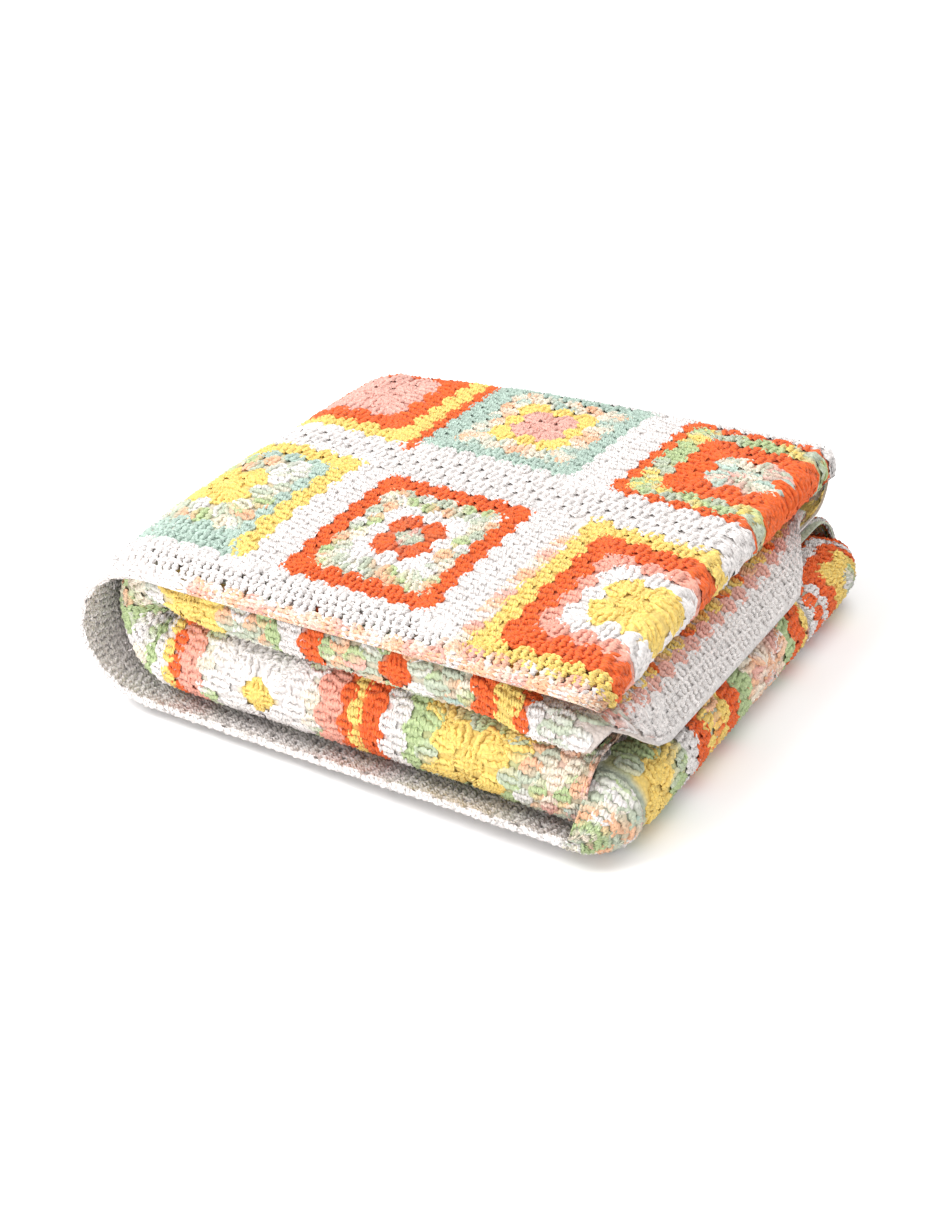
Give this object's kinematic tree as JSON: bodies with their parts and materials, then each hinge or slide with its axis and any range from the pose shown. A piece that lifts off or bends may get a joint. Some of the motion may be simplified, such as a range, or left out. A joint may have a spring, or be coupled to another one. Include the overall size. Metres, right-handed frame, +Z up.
{
  "type": "crochet baby blanket",
  "caption": "Folded crochet baby blanket of granny squares with a plain light border, lying as a soft stack with rounded folds and a turned-in right end.",
  "frame": {"origin": "on the surface the stack lies on, under the middle of its bounding box", "axes": "+X to the right along the front of the stack, the round half fold being on the left, +Y from the front to the back folds, +Z up"},
  "size_m": [0.3596, 0.3551, 0.112],
  "materials": {
    "cotton_yarn": "matte knit cotton in orange, yellow, sage, salmon and white"
  },
  "bodies": {
    "root": {"blanket": "cotton_yarn"}
  },
  "joints": []
}
